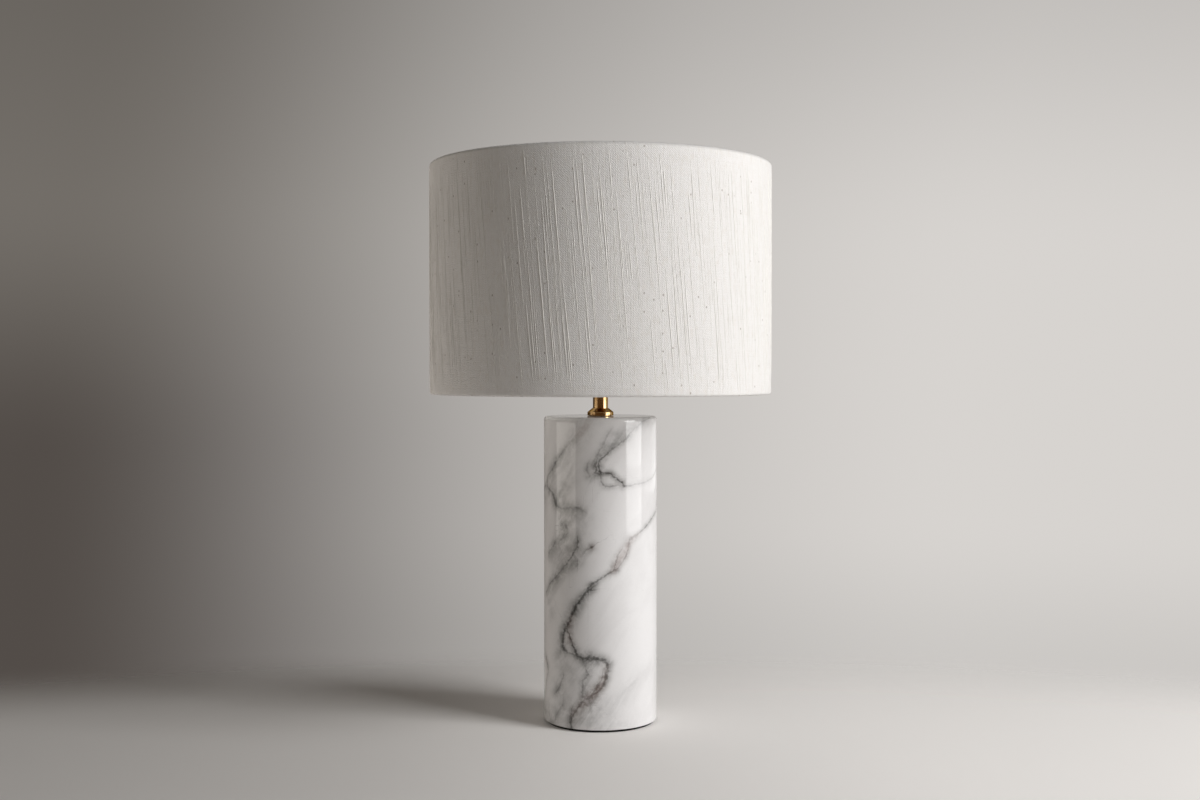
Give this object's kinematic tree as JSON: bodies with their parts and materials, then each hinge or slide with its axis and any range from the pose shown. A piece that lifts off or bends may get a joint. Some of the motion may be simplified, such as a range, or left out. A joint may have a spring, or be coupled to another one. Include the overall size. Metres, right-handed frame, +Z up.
{
  "type": "table lamp",
  "caption": "Table lamp with a polished marble column, a turned brass neck, a switched screw lampholder and a linen drum shade that turns on its carrier.",
  "frame": {"origin": "on the table, under the middle of the foot pad", "axes": "+Z up along the lamp's axis, -Y to the front, +Y to the cord bush at the back"},
  "size_m": [0.3, 0.3, 0.4893],
  "materials": {
    "marble": "polished white marble with grey veins",
    "foot_pad": "dark matt foam",
    "brass": "satin, slightly aged",
    "contact_brass": "bright pressed",
    "steel": "zinc plated",
    "black_plastic": "moulded",
    "gasket": "matt",
    "socket_ceramic": "matt white",
    "linen": "natural white slub linen",
    "shade_liner": "white satin sheet",
    "white_wire": "white powder coat",
    "opal": "opal white",
    "bulb_white": "white moulded",
    "bulb_board": "white coated board",
    "bulb_metal": "nickel plated",
    "bulb_black": "black vitrite"
  },
  "bodies": {
    "lamp_base": {"marble_column": "marble", "foot_pad": "foot_pad", "cord_bush": "black_plastic", "threaded_rod": "steel", "clamp_washer": "steel", "lock_washer": "steel", "rod_nut": "steel", "rod_end_bush": "black_plastic", "collar_gasket": "gasket", "neck_collar": "brass", "neck_tube": "brass", "lampholder_cap": "brass", "cap_lock_screw": "steel", "lampholder_barrel": "brass", "socket_insulator": "socket_ceramic", "screw_shell": "contact_brass", "centre_contact": "contact_brass", "terminal_blocks": "contact_brass", "terminal_screws": "steel", "switch_guides": "black_plastic"},
    "switch": {"switch_bar": "black_plastic", "switch_contact": "contact_brass"},
    "shade": {"shade_fabric": "linen", "shade_liner": "shade_liner", "shade_top_ring": "white_wire", "shade_bottom_ring": "white_wire", "shade_arms": "white_wire", "shade_carrier_ring": "white_wire"},
    "clamp_ring": {"shade_clamp_ring": "brass"},
    "bulb_tip": {"bulb_tip_contact": "bulb_metal"},
    "bulb": {"bulb_globe": "opal", "bulb_housing": "bulb_white", "bulb_light_board": "bulb_board", "bulb_screw_cap": "bulb_metal", "bulb_tip_insulator": "bulb_black"}
  },
  "joints": [
    {"name": "shade_turn", "type": "hinge", "parent": "lamp_base", "child": "shade", "pos_m": [0, 0, 0.3244], "axis": [0, 0, 1], "continuous": true},
    {"name": "clamp_ring_rise", "type": "slide", "parent": "lamp_base", "child": "clamp_ring", "axis": [0, 0, 1], "range_m": [0, 0.02]},
    {"name": "switch_push", "type": "slide", "parent": "lamp_base", "child": "switch", "axis": [1, 0, 0], "range_m": [0, 0.006]},
    {"name": "bulb_rise", "type": "slide", "parent": "lamp_base", "child": "bulb_tip", "axis": [0, 0, 1], "range_m": [0, 0.01461]},
    {"name": "bulb_turn", "type": "hinge", "parent": "bulb_tip", "child": "bulb", "pos_m": [0, 0, 0.3315], "axis": [0, 0, 1], "range_deg": [0, 1440]}
  ],
  "couplings": [
    {"joint": "bulb_rise", "follows": "bulb_turn", "m_per_rad": 0.00057751}
  ]
}
